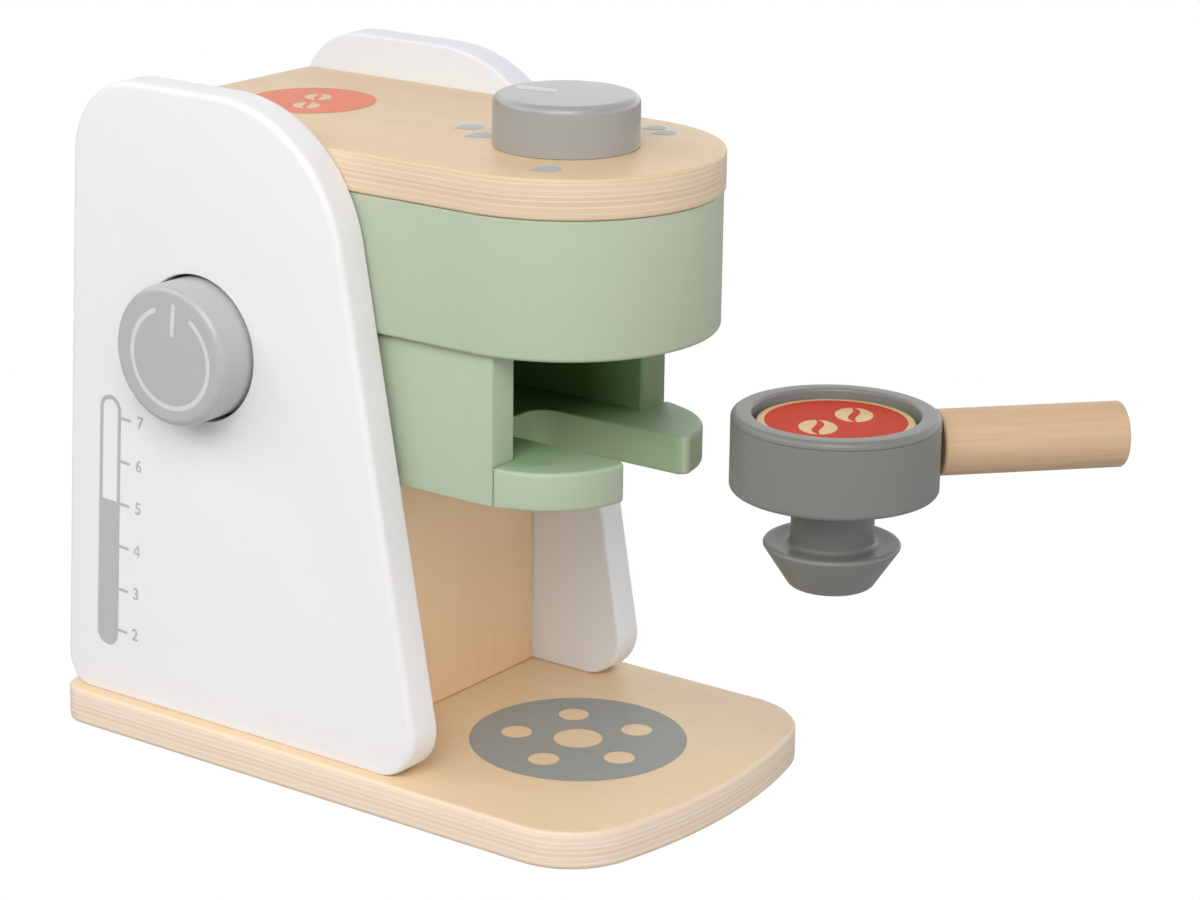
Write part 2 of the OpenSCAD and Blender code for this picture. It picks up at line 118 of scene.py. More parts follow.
class Graph:
    """Short helpers that fill a shader tree with nodes."""

    def __init__(self, tree):
        self.tree = tree
        tree.nodes.clear()

    def node(self, kind, **props):
        n = self.tree.nodes.new(kind)
        for key, value in props.items():
            setattr(n, key, value)
        return n

    def put(self, socket, value):
        """Gives a socket another socket's output, or a plain value."""
        if isinstance(value, bpy.types.NodeSocket):
            self.tree.links.new(value, socket)
        elif isinstance(value, tuple) and len(value) == 3 and socket.type == "RGBA":
            socket.default_value = (*value, 1.0)
        else:
            socket.default_value = value

    def math(self, operation, a, b=0.0):
        n = self.node("ShaderNodeMath", operation=operation)
        self.put(n.inputs[0], a)
        self.put(n.inputs[1], b)
        return n.outputs[0]

    def product(self, first, *others):
        for other in others:
            first = self.math("MULTIPLY", first, other)
        return first

    def total(self, first, *others):
        for other in others:
            first = self.math("ADD", first, other)
        return first

    def shared(self, a, b, share):
        """The sum of two values, of which the first has the given share."""
        return self.total(self.product(a, share), self.product(b, 1 - share))

    def level(self, value, lo, hi, out_lo=0.0, out_hi=1.0, curve="LINEAR"):
        """The value's place between two limits, held at both ends."""
        n = self.node("ShaderNodeMapRange", interpolation_type=curve)
        for socket, given in zip(n.inputs, (value, lo, hi, out_lo, out_hi)):
            self.put(socket, given)
        return n.outputs[0]

    def white_to_camera(self, shader, white_kind, out_kind):
        """Shows plain white to the camera, and the given shader to every other ray."""
        white = self.node(white_kind)
        self.put(white.inputs["Color"], (1.0, 1.0, 1.0, 1.0))
        self.put(white.inputs["Strength"], 1.0)
        mix = self.node("ShaderNodeMixShader")
        self.put(mix.inputs[0], self.node("ShaderNodeLightPath").outputs["Is Camera Ray"])
        self.put(mix.inputs[1], shader.outputs[0])
        self.put(mix.inputs[2], white.outputs[0])
        self.put(self.node(out_kind).inputs[0], mix.outputs[0])


class Mat(Graph):
    """A material with a Principled shader and procedural textures in object space."""

    def __init__(self, name, rough, spec, coat=0.0, coat_rough=0.1):
        self.material = bpy.data.materials.new(name)
        self.material.use_nodes = True
        super().__init__(self.material.node_tree)
        out = self.node("ShaderNodeOutputMaterial")
        self.shader = self.node("ShaderNodeBsdfPrincipled")
        self.put(out.inputs[0], self.shader.outputs[0])
        self.set("Roughness", rough)
        self.set("Specular IOR Level", spec)
        self.set("Coat Weight", coat)
        self.set("Coat Roughness", coat_rough)
        self.position = self.node("ShaderNodeTexCoord").outputs["Object"]

    def set(self, name, value):
        self.put(self.shader.inputs[name], value)

    def axis(self, name):
        n = self.node("ShaderNodeSeparateXYZ")
        self.put(n.inputs[0], self.position)
        return n.outputs["XYZ".index(name)]

    def noise(self, scale, detail, rough, distort=0.0):
        """Noise with one scale for all axes or a scale for each, counted per metre."""
        mapping = self.node("ShaderNodeMapping")
        self.put(mapping.inputs["Vector"], self.position)
        self.put(mapping.inputs["Scale"], scale if isinstance(scale, tuple) else (scale,) * 3)
        n = self.node("ShaderNodeTexNoise")
        self.put(n.inputs["Vector"], mapping.outputs[0])
        self.put(n.inputs["Scale"], 1.0)
        self.put(n.inputs["Detail"], detail)
        self.put(n.inputs["Roughness"], rough)
        self.put(n.inputs["Distortion"], distort)
        return n.outputs["Fac"]

    def ramp(self, value, stops):
        n = self.node("ShaderNodeValToRGB")
        elements = n.color_ramp.elements
        while len(elements) > 1:
            elements.remove(elements[-1])
        elements[0].position, elements[0].color = stops[0]
        for place, colour in stops[1:]:
            elements.new(place).color = colour
        self.put(n.inputs[0], value)
        return n.outputs[0]

    def mix(self, share, a, b, blend="MIX"):
        n = self.node("ShaderNodeMix", data_type="RGBA", blend_type=blend)
        self.put(n.inputs[0], share)
        self.put(n.inputs[6], a)
        self.put(n.inputs[7], b)
        return n.outputs[2]

    def bump(self, height, strength, distance):
        """Makes the surface uneven; the distance is in millimetres."""
        n = self.node("ShaderNodeBump")
        self.put(n.inputs["Strength"], strength)
        self.put(n.inputs["Distance"], distance * MM)
        self.put(n.inputs["Height"], height)
        self.set("Normal", n.outputs[0])


def along(axis, scale, across):
    """A texture scale that differs along one axis, as wood grain needs."""
    return tuple(scale if a == axis else across for a in "XYZ")


# ---------------------------------------------------------------- shaded places
# Painted shade: the light alone leaves some places brighter than the photograph shows them, and
#  there the colour is multiplied by the share below.

BAY_PAINT_SHADE, BAY_WOOD_SHADE = (0.3, 0.4, 0.2), (0.24, 0.3, 0.2)
CHEEK_SHADE = (0.86, 0.96, 0.83)
SLOT_SHADE = (0.73, 0.88, 0.73)
FORK_SHADE = (0.78, 0.9, 0.8)
NEAR_CHEEKS_SHADE = (0.8, 0.94, 0.76)
TURNED_AWAY_SHADE = (0.56, 0.6, 0.47)
PANEL_FOOT_SHADE, PANEL_HEAD_SHADE = (0.86, 0.87, 0.88), (0.9, 0.91, 0.92)
WALL_FOOT_SHADE = (0.9, 0.82, 0.76)

# where these places start and end, in millimetres
DEEP_Y, NEAR_Y, WALL_FOOT_Z = -26.0, -56.0, 85.0
NEAR_LEFT, NEAR_RIGHT = (-35.5, -27.8), (34.0, 26.2)
TINE_LEFT, TINE_RIGHT, CHEEK_RIGHT = (13.5, 15.3), (33.0, 25.0), 40.0
PANEL_FOOT_Z, PANEL_HEAD_Z = (90.0, 15.0), (150.0, 166.0)


def below(m, value, limit):
    return m.math("LESS_THAN", value, limit * MM)


def between(m, value, lo, hi):
    return m.product(m.math("GREATER_THAN", value, lo * MM), below(m, value, hi))


def rising(m, value, start, end):
    """A mask that goes from 0 to 1 between two places, in millimetres."""
    return m.level(value, start * MM, end * MM)


def shaded(m, colour, mask, share):
    return m.mix(mask, colour, m.mix(1.0, colour, share, "MULTIPLY"))


def in_bay(m, colour, deep_share):
    """Darkens a colour in the cup bay, where little light gets in, most at its inner end.
    Margins of a few tenths take rounded edges in, or leave them out."""
    x, y, z = (m.axis(a) for a in "XYZ")
    mouth, fork_skin = CHEEK_Y + 0.1, FORK_TOP - 0.15
    ahead = below(m, y, mouth)
    inside = m.product(between(m, x, -CHEEK_IN[-1] - 0.6, CHEEK_IN[1] + 0.6),
                       between(m, z, FORK_TOP - 0.3, HEAD_Z + 0.3),
                       m.math("SUBTRACT", 1.0, ahead))
    colour = shaded(m, colour, m.product(inside, rising(m, y, mouth, DEEP_Y)), deep_share)
    colour = shaded(m, colour, inside, CHEEK_SHADE)
    # the fork's top and the faces of its slot lie in the shade of the head
    top = m.product(between(m, z, fork_skin, FORK_TOP + 0.2), ahead)
    slot = m.product(between(m, x, -SLOT - 0.6, SLOT + 0.6), below(m, z, fork_skin),
                     below(m, y, SLOT_BACK + 0.8))
    colour = shaded(m, colour, m.math("MAXIMUM", slot, inside), SLOT_SHADE)
    colour = shaded(m, colour, top, FORK_SHADE)
    near = m.product(rising(m, x, *NEAR_RIGHT), rising(m, x, *NEAR_LEFT), rising(m, y, NEAR_Y, mouth))
    colour = shaded(m, colour, m.product(top, near), NEAR_CHEEKS_SHADE)
    # the nose of the right tine and the front of the right cheek are turned away from the light
    tine = m.product(rising(m, x, *TINE_LEFT), rising(m, x, *TINE_RIGHT), below(m, z, fork_skin))
    cheek_front = m.product(between(m, x, CHEEK_IN[1] - 0.6, CHEEK_RIGHT),
                            between(m, z, FORK_TOP + 0.2, HEAD_Z - 0.05))
    away = m.product(m.math("MAXIMUM", tine, cheek_front), ahead)
    return shaded(m, colour, away, TURNED_AWAY_SHADE)


def in_painted_bay(m, colour):
    return in_bay(m, colour, BAY_PAINT_SHADE)


def on_wall(m, colour):
    """Painted shade on the wall: dark in the bay, and a little darker and reddish at its foot."""
    colour = in_bay(m, colour, BAY_WOOD_SHADE)
    foot = m.ramp(m.axis("Z"), [(BASE_TOP * MM, (*WALL_FOOT_SHADE, 1)), (WALL_FOOT_Z * MM, (1, 1, 1, 1))])
    return m.mix(1.0, colour, foot, "MULTIPLY")


def on_right_panel(m, colour):
    """Painted shade on the right panel's inner face: a little darker at its foot and above the top
    plate.
    """
    x, y, z = (m.axis(a) for a in "XYZ")
    foot = m.product(below(m, x, HALF + 0.3), below(m, y, WALL_Y), rising(m, z, *PANEL_FOOT_Z))
    colour = shaded(m, colour, foot, PANEL_FOOT_SHADE)
    above = m.product(rising(m, x, OUT - 0.2, OUT - 1.8), rising(m, z, *PANEL_HEAD_Z))
    return shaded(m, colour, above, PANEL_HEAD_SHADE)


# ---------------------------------------------------------------- kinds of material

# plywood at an edge: where each layer ends, as a share of the thickness, and its colour. Two
# layers run into each other over twice the soft width
PLY_LAYERS = ((0.15, "outer"), (0.19, "pale"), (0.30, "pink"), (0.345, "pale"), (0.45, "rose"),
              (0.485, "pale"), (0.565, "rose"), (0.605, "pale"), (0.70, "pink"), (0.74, "pale"),
              (0.85, "pink"), (0.89, "pale"), (1.0, "outer"))
PLY_COLOURS = {"pink": (236, 212, 190), "rose": (231, 205, 182), "pale": (244, 227, 205),
               "outer": (235, 212, 183), "streak": (214, 182, 158), "dot": (182, 144, 118)}
PLY_SOFT = 0.012


def wood_face(m, axis, light, dark, fibre=1.0):
    """Grain colour of a lacquered wood face, with its height for a bump."""
    broad = m.noise(along(axis, 5, 60), 4, 0.55, 0.6)
    fine = m.noise(along(axis, 30, 900), 4, 0.6)
    pores = m.noise(along(axis, 220, 3600), 2, 0.5)
    colour = m.ramp(m.shared(broad, fine, 0.5), [(0.34, dark), (0.66, light)])
    spots = m.level(pores, 0.6, 0.76, 0.0, 0.22 * fibre)
    colour = m.mix(spots, colour, tuple(c * 0.62 for c in dark[:3]))
    return colour, m.shared(fine, pores, 0.6)


def ply_edge(m, axis, place, tone):
    """Colour and height of plywood's cut edge; place runs from 0 to 1 through the thickness."""
    shade = {name: tuple(min(1.0, c * t) for c, t in zip(rgb(*colour), tone)) + (1.0,)
             for name, colour in PLY_COLOURS.items()}
    waves = m.noise(45, 2, 0.5)
    stops, start = [], 0.0
    for end, name in PLY_LAYERS:
        stops += [(start + PLY_SOFT, shade[name]), (end - PLY_SOFT, shade[name])]
        start = end
    colour = m.ramp(m.total(place, m.product(m.math("SUBTRACT", waves, 0.5), 0.05)), stops)
    streaks = m.noise(along(axis, 5200, 28), 3, 0.6)
    dots = m.noise(along(axis, 2600, 1300), 2, 0.5)
    colour = m.mix(m.level(streaks, 0.34, 0.7, 0.0, 0.34), colour, shade["streak"])
    return m.mix(m.level(dots, 0.58, 0.74, 0.0, 0.2), colour, shade["dot"]), streaks


def plywood(name, axis, low, thick, grain, light, dark, tone=(1.0, 1.0, 1.0)):
    """Lacquered plywood: face veneers on both flats, and pale and pinkish plies between."""
    m = Mat(name, rough=0.42, spec=0.4, coat=0.12, coat_rough=0.3)
    face, face_height = wood_face(m, grain, light, dark, 0.5)
    place = m.math("DIVIDE", m.math("SUBTRACT", m.axis(axis), low * MM), thick * MM)
    edge, edge_height = ply_edge(m, axis, place, tone)
    from_middle = m.math("ABSOLUTE", m.math("SUBTRACT", place, 0.5))
    is_face = m.level(from_middle, 0.476, 0.49)
    m.set("Base Color", m.mix(is_face, edge, face))
    m.bump(m.mix(is_face, edge_height, face_height), 0.25, 0.06)
    return m.material


def solid_wood(name, axis, light, dark, rough, fibre=1.0, shading=None):
    m = Mat(name, rough, spec=0.35, coat=0.06, coat_rough=0.35)
    colour, height = wood_face(m, axis, light, dark, fibre)
    m.set("Base Color", shading(m, colour) if shading else colour)
    m.bump(height, 0.3, 0.1)
    return m.material


def paint(name, colour, shade, rough, spec=0.42, shading=None):
    """Satin paint sprayed on smooth wood: a trace of the grain, and a slow drift of tone."""
    m = Mat(name, rough, spec)
    drift = m.noise(14, 2, 0.5)
    grain = m.noise(along("Z", 60, 1500), 4, 0.6)
    speck = m.noise(2600, 2, 0.5)
    tone = m.ramp(m.shared(drift, grain, 0.55), [(0.3, shade), (0.7, colour)])
    m.set("Base Color", shading(m, tone) if shading else tone)
    m.set("Roughness", m.level(grain, 0.3, 0.7, rough - 0.05, rough + 0.08))
    m.bump(m.shared(grain, speck, 0.7), 0.12, 0.06)
    return m.material


def plastic(name, colour, shade, rough, bump, coat=0.0):
    """Moulded plastic with the fine grain of its mould and slightly uneven gloss."""
    m = Mat(name, rough, 0.5, coat, 0.15)
    fine = m.noise(3200, 3, 0.5)
    m.set("Base Color", m.ramp(fine, [(0.3, shade), (0.7, colour)]))
    m.set("Roughness", m.level(fine, 0.3, 0.7, rough - 0.03, rough + 0.03))
    m.bump(fine, bump, 0.03)
    return m.material


def ink(name, colour, shade, spec=0.35):
    """Screen print on wood: the grain shows through it a little."""
    m = Mat(name, 0.5, spec)
    fine = m.noise(along("Y", 40, 1400), 4, 0.6)
    blotch = m.noise(260, 3, 0.5)
    m.set("Base Color", m.ramp(m.shared(fine, blotch, 0.6), [(0.32, shade), (0.68, colour)]))
    m.bump(fine, 0.12, 0.05)
    return m.material


def metal(name, colour, rough):
    """Zinc plated steel, slightly uneven in tone and gloss."""
    m = Mat(name, rough, 0.5)
    m.set("Metallic", 1.0)
    brush = m.noise(900, 4, 0.6)
    dark = tuple(c * 0.8 for c in colour[:3]) + (1.0,)
    m.set("Base Color", m.ramp(brush, [(0.3, dark), (0.7, colour)]))
    m.set("Roughness", m.level(brush, 0.3, 0.7, rough - 0.08, rough + 0.1))
    m.bump(brush, 0.1, 0.03)
    return m.material


# ---------------------------------------------------------------- materials

VENEER = rgb(231, 203, 165), rgb(222, 191, 151)
# the base's ply edge has a brighter tone than the top plate's: painted light from the floor below
BASE_PLY = plywood("ply_base", "Z", 0.0, BOARD, "Y", rgb(241, 214, 177), rgb(234, 205, 167),
                   (1.12, 1.15, 1.18))
TOP_PLY = plywood("ply_top", "Z", PLATE_Z, BOARD, "Y", *VENEER, (0.97, 0.96, 0.89))
BACK_PLY = plywood("ply_back", "Y", BACK_Y, BOARD, "Z", *VENEER)
PAD_PLY = plywood("ply_pad", "Z", 0.0, PAD_H, "Y", rgb(232, 196, 145), rgb(218, 178, 124))
WALL_WOOD = solid_wood("wall_wood", "Z", rgb(255, 226, 189), rgb(250, 219, 179), 0.6, 0.8,
                       shading=on_wall)
BLOCK_WOOD = solid_wood("block_wood", "Y", rgb(216, 186, 148), rgb(198, 164, 124), 0.7)
PIN_WOOD = solid_wood("pin_wood", "Z", rgb(222, 196, 158), rgb(206, 176, 136), 0.7)
HANDLE_WOOD = solid_wood("handle_wood", "Z", rgb(219, 187, 152), rgb(202, 167, 131), 0.5)
WHITE = paint("white_paint", rgb(244, 242, 243), rgb(241, 239, 240), 0.5, 0.25)
# the right panel's white is a bluer copy of the left one's: a painted shade tint for its shaded inner
# face
WHITE_SHADE_RIGHT = paint("white_paint_shade_right", rgb(244, 245, 248), rgb(241, 242, 245), 0.5, 0.25,
                    shading=on_right_panel)
GREEN = paint("green_paint", rgb(187, 199, 175), rgb(180, 193, 167), 0.46, shading=in_painted_bay)
GREY = plastic("grey_gloss", rgb(189, 188, 186), rgb(185, 184, 182), 0.3, 0.04, 0.3)
DIAL_GREY = plastic("dial_grey", rgb(166, 165, 162), rgb(162, 161, 158), 0.3, 0.04, 0.3)
DARK = plastic("grey_satin", rgb(129, 131, 127), rgb(125, 127, 123), 0.36, 0.08)
STEEL = metal("zinc_steel", (0.62, 0.62, 0.63, 1.0), 0.32)
RED = ink("red_ink", rgb(208, 56, 20), rgb(198, 49, 16), 0.12)
RED_TOP = ink("red_ink_top", rgb(238, 138, 104), rgb(231, 126, 92))
DRIP = ink("drip_ink", rgb(160, 162, 159), rgb(152, 154, 151))
GAUGE = ink("gauge_ink", rgb(193, 193, 193), rgb(187, 187, 187))
BLUE = ink("drop_ink", rgb(184, 193, 198), rgb(175, 186, 192))
LIGHT = ink("light_ink", rgb(220, 221, 220), rgb(215, 216, 215))

# ---------------------------------------------------------------- mesh helpers


def add(name, data):
    """A new object in the scene."""
    made = bpy.data.objects.new(name, data)
    bpy.context.scene.collection.objects.link(made)
    return made


def ride(piece, body, slot, *nodes):
    """Puts a finished piece on its body and hides the nodes it stands for. The slot argument is not
    used.
    """
    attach(piece, body)
    if nodes:
        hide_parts(*nodes)
    return piece


def mesh(name, verts, faces, mat, clean):
    """A mesh from points in millimetres, after the clean function has worked on it."""
    form = bpy.data.meshes.new(name)
    form.from_pydata([tuple(c * MM for c in v) for v in verts], [], faces)
    bm = bmesh.new()
    bm.from_mesh(form)
    clean(bm)
    bm.to_mesh(form)
    bm.free()
    form.materials.append(mat)
    return form


def weld(bm):
    bmesh.ops.remove_doubles(bm, verts=bm.verts, dist=1e-7)
    bmesh.ops.recalc_face_normals(bm, faces=bm.faces)


def solid(name, verts, faces, mat):
    """A closed form, smooth but for its creases."""
    form = mesh(name, verts, faces, mat, weld)
    form.shade_smooth()
    form.set_sharp_from_angle(angle=math.radians(CREASE))
    return add(name, form)


def filled(parts):
    """Triangles that fill an outline and its holes. Each part is its first vertex and its loop."""
    index = [first + i for first, loop in parts for i in range(len(loop))]
    flat = [[Vector((u, v, 0)) for u, v in loop] for _, loop in parts]
    return [tuple(index[i] for i in triangle) for triangle in tessellate_polygon(flat)]


def polar(radius, degrees):
    a = math.radians(degrees)
    return radius * math.cos(a), radius * math.sin(a)


def arc(cx, cy, r, start, end, n):
    """Points on an arc, angles in degrees, both ends included."""
    turns = [polar(r, start + (end - start) * i / n) for i in range(n + 1)]
    return [(cx + x, cy + y) for x, y in turns]


def oval(cx, cy, rx, ry, n):
    turns = [2 * math.pi * i / n for i in range(n)]
    return [(cx + rx * math.cos(t), cy + ry * math.sin(t)) for t in turns]


def circle(cx, cy, r, n):
    return oval(cx, cy, r, r, n)


def rounded(corners, n):
    """A closed outline from (x, y, radius) corners, anticlockwise."""
    points = []
    for i, (x, y, r) in enumerate(corners):
        corner = Vector((x, y))
        before = (Vector(corners[i - 1][:2]) - corner).normalized()
        after = (Vector(corners[(i + 1) % len(corners)][:2]) - corner).normalized()
        inwards = (before + after).normalized()
        half = math.acos(inwards.dot(before))
        centre = corner + inwards * (r / math.sin(half))
        start = corner + before * (r / math.tan(half)) - centre
        end = corner + after * (r / math.tan(half)) - centre
        first = math.atan2(start.y, start.x)
        turn = start.angle_signed(end)
        for k in range(n + 1):
            a = first - turn * k / n
            points.append((centre.x + r * math.cos(a), centre.y + r * math.sin(a)))
    return points


def inset(loop, distances):
    """The loop moved to its left, which is inwards on an anticlockwise outline."""
    out = []
    for i, (point, distance) in enumerate(zip(loop, distances)):
        p0, p1, p2 = Vector(loop[i - 1]), Vector(point), Vector(loop[(i + 1) % len(loop)])
        e1, e2 = (p1 - p0).normalized(), (p2 - p1).normalized()
        n1, n2 = Vector((-e1.y, e1.x)), Vector((-e2.y, e2.x))
        moved = p1 + (n1 + n2) * (distance / max(0.35, 1 + n1.dot(n2)))
        out.append((moved.x, moved.y))
    return out


def edge_row(radii, turn, face, inward):
    """How far an outline is drawn in at one step round an edge, and the heights it lies at."""
    return ([r * (1 - math.sin(turn)) for r in radii],
            [face + inward * r * (1 - math.cos(turn)) for r in radii])


def upright(u, v, w):
    return u, v, w


def slab(name, loops, low, high, edges, mat, place=upright, steps=5):
    """A board with rounded edges. loops: the outline anticlockwise, then its holes clockwise.
    edges: for each loop one radius, a pair for the low and the high face, or a function of
    (u, v) that returns such a pair or radius."""
    verts, faces, low_face, high_face = [], [], [], []
    turns = [math.pi / 2 * k / steps for k in range(steps + 1)]
    for loop, edge in zip(loops, edges):
        radii = [edge(u, v) if callable(edge) else edge for u, v in loop]
        lower, upper = zip(*[r if isinstance(r, tuple) else (r, r) for r in radii])
        rows = [edge_row(lower, t, low, 1) for t in turns]
        rows += [edge_row(upper, t, high, -1) for t in reversed(turns)]
        n, start = len(loop), len(verts)
        for distances, heights in rows:
            drawn_in = inset(loop, distances)
            verts += [place(u, v, w) for (u, v), w in zip(drawn_in, heights)]
        for k in range(len(rows) - 1):
            for i in range(n):
                a, b = start + k * n + i, start + k * n + (i + 1) % n
                faces.append((a, b, b + n, a + n))
        low_face.append((start, inset(loop, rows[0][0])))
        high_face.append((len(verts) - n, inset(loop, rows[-1][0])))
    return solid(name, verts, faces + filled(low_face) + filled(high_face), mat)


def turned(name, profile, mat, at=(0, 0, 0), axis="Z"):
    """A lathe form from (radius, height) points. The axis is Z, or X for the button."""
    verts, faces, rows = [], [], []
    for r, h in profile:
        ring = oval(0, 0, r, r, ROUND if r > 0 else 1)
        rows.append(range(len(verts), len(verts) + len(ring)))
        verts += [(x, y, h) for x, y in ring]
    for a, b in zip(rows, rows[1:]):
        for i in range(ROUND):
            j = (i + 1) % ROUND
            if len(a) == 1:
                faces.append((a[0], b[i], b[j]))
            elif len(b) == 1:
                faces.append((a[i], a[j], b[0]))
            else:
                faces.append((a[i], a[j], b[j], b[i]))
    if axis == "X":
        verts = [(h, x, y) for x, y, h in verts]
    verts = [(x + at[0], y + at[1], z + at[2]) for x, y, z in verts]
    return solid(name, verts, faces, mat)


# ---------------------------------------------------------------- boards

BASE_BOW, BASE_FRONT_R, BASE_BACK_R = 9.8, 21.0, 7.5
BASE_EDGE, PLATE_EDGE, PLATE_BACK_R = 1.3, 0.7, 3.5
HEAD_EDGES = (1.1, 0.5)
PANEL_FRONT = {-1: -31.4, 1: -30.5}
PANEL_TOP_FRONT, PANEL_LEAN = -0.9, 10.2
PANEL_R = {"low front": 11.3, "low back": 8.0, "high back": 21.2, "high front": 40.0}
HOLE_GAP, HOLE_EDGE = 0.8, 0.4
WALL_EDGE, CHEEK_EDGE, CHEEK_CORNER_R = 0.35, 0.4, 0.9
# a panel's edge radius at its inner and its outer face, at the foot and higher up
PANEL_FOOT_EDGES, PANEL_EDGES = (0.7, 0.6), (1.0, 1.8)
# the fork's edge radius in the slot, at the cheeks, round the tines and in the slot's mouth
SLOT_EDGE, JOINT_EDGE, TINE_EDGE, MOUTH_EDGE = 0.6, 0.3, 1.2, 0.9


def base_outline():
    """Straight sides, round corners, and a front edge that bows forward."""
    bow_r = (BASE_HW ** 2 + BASE_BOW ** 2) / (2 * BASE_BOW)
    bow_y = -BASE_BACK + bow_r
    front_x = BASE_HW - BASE_FRONT_R
    front_y = bow_y - math.sqrt((bow_r - BASE_FRONT_R) ** 2 - front_x ** 2)
    meet = math.degrees(math.atan2(bow_y - front_y, -front_x))
    bow_half = math.degrees(math.asin(front_x / (bow_r - BASE_FRONT_R)))
    back_x, back_y = BASE_HW - BASE_BACK_R, BASE_BACK - BASE_BACK_R
    points = arc(back_x, back_y, BASE_BACK_R, 0, 90, 12)
    points += arc(-back_x, back_y, BASE_BACK_R, 90, 180, 12)
    points += arc(-front_x, front_y, BASE_FRONT_R, 180, 360 - meet, 24)
    points += arc(0, bow_y, bow_r, 270 - bow_half, 270 + bow_half, 40)[1:-1]
    return points + arc(front_x, front_y, BASE_FRONT_R, meet + 180, 360, 24)


def nose_outline(r, back, corner):
    """The top plate's outline: square at the back, and half a circle round the dial in front."""
    points = arc(r - corner, back - corner, corner, 0, 90, 8)
    points += arc(-r + corner, back - corner, corner, 90, 180, 8)
    return points + arc(0, NOSE_Y, r, 180, 360, 128)


def base_board():
    piece = slab("base_board", [base_outline()], 0, BASE_TOP, [BASE_EDGE], BASE_PLY)
    ride(piece, "machine", "plywood", "base_plate")


def top_board():
    outline = nose_outline(HALF, PLATE_BACK, PLATE_BACK_R)
    piece = slab("top_board", [outline], PLATE_Z, PLATE_TOP, [PLATE_EDGE], TOP_PLY)
    ride(piece, "machine", "plywood", "top_plate")


def head():
    """The green block under the top plate, with a fine joint between them."""
    outline = nose_outline(HALF - 0.5, WALL_Y, 0.4)
    piece = slab("head", [outline], HEAD_Z, PLATE_Z - 0.12, [HEAD_EDGES], GREEN)
    ride(piece, "machine", "green_paint", "head_block")


def panel_edge(u, v):
    """A panel's edge is sharp at its foot, and gets rounder over the first few millimetres."""
    up = max(0.0, min(1.0, (v - BASE_TOP - 0.4) / 3.0))
    return tuple(foot + (full - foot) * up for foot, full in zip(PANEL_FOOT_EDGES, PANEL_EDGES))


def side_panel(side, name, mat, node, *holes):
    outline = rounded([(PANEL_FRONT[side], BASE_TOP, PANEL_R["low front"]),
                       (BASE_BACK, BASE_TOP, PANEL_R["low back"]),
                       (BASE_BACK - PANEL_LEAN, PANEL_TOP, PANEL_R["high back"]),
                       (PANEL_TOP_FRONT, PANEL_TOP, PANEL_R["high front"])], 28)
    edges = [panel_edge] + [HOLE_EDGE] * len(holes)
    piece = slab(name, [outline, *holes], HALF, OUT, edges, mat, lambda u, v, w: (side * w, u, v), 6)
    ride(piece, "machine", "white_paint", node)


def wall():
    """The board behind the cup bay, with a fine joint to its neighbours."""
    side, foot, top = HALF - 0.18, BASE_TOP + 0.12, PLATE_Z - 0.1
    corners = ((-side, foot), (side, foot), (side, top), (-side, top))
    outline = rounded([(x, z, 0.5) for x, z in corners], 5)
    piece = slab("wall_board", [outline], -WALL_BACK, -WALL_Y, [WALL_EDGE], WALL_WOOD,
                 lambda u, v, w: (u, -w, v))
    ride(piece, "machine", "wall_wood", "column_wall")


def cheek(side, node):
    x0, x1 = sorted((side * CHEEK_IN[side], side * CHEEK_OUT))
    outline = rounded([(x0, CHEEK_Y, CHEEK_CORNER_R), (x1, CHEEK_Y, CHEEK_CORNER_R),
                       (x1, WALL_Y, 0.1), (x0, WALL_Y, 0.1)], 8)
    piece = slab(node + "_board", [outline], FORK_Z, HEAD_Z, [CHEEK_EDGE], GREEN)
    ride(piece, "machine", "green_paint", node)


def half_fork(side):
    """One tine from the slot's mouth round its nose to the wall, as if it were the right one."""
    inner = CHEEK_IN[side] - 0.05
    return (arc(SLOT + MOUTH_R, FRONT + 2.9, MOUTH_R, 180, 275.7, 12)
            + arc(CHEEK_OUT - TINE_R, FRONT + TINE_R, TINE_R, -84.2, -6.4, 40)
            + arc(CHEEK_OUT - 1.25, FORK_END - 1.2, 1.2, 0, 90, 8)
            + [(inner, FORK_END), (inner, WALL_Y)])


def fork_edge(u, v):
    """The fork's edge is fine in the slot and at the cheeks, and rounder outside."""
    behind_mouth = v > FRONT + 3
    if abs(u) <= SLOT + 0.1 and behind_mouth:
        return SLOT_EDGE
    if v > CHEEK_Y - 0.3 and abs(u) < 28:
        return JOINT_EDGE
    if v > -50:
        return TINE_EDGE - 0.5 * min(1.0, (v + 50) / 4)
    return TINE_EDGE if behind_mouth or abs(u) > SLOT + 3.3 else MOUTH_EDGE


def fork():
    outline = half_fork(1) + [(-x, y) for x, y in reversed(half_fork(-1))]
    outline += arc(-SLOT + SLOT_R, SLOT_BACK - SLOT_R, SLOT_R, 180, 90, 12)
    outline += arc(SLOT - SLOT_R, SLOT_BACK - SLOT_R, SLOT_R, 90, 0, 12)
    piece = slab("fork_board", [outline], FORK_Z, FORK_TOP, [fork_edge], GREEN)
    ride(piece, "machine", "green_paint", "fork_plate")


button_hole = circle(CAP_Y, CAP_Z, CAP_R + HOLE_GAP, 128)[::-1]
base_board()
top_board()
head()
side_panel(-1, "side_left", WHITE, "side_panel_left", button_hole)
side_panel(1, "side_right", WHITE_SHADE_RIGHT, "side_panel_right")
wall()
cheek(-1, "cheek_left")
cheek(1, "cheek_right")
fork()

# ---------------------------------------------------------------- knobs

DIAL_FOOT = span("dial_knob")[0][2]
AXLE_R, STEM_R, FLANGE_R = 5.0, 4.0, 21.9
STEM_END, FLANGE_BACK, FLANGE_FRONT = -8.9, -37.0, -39.25


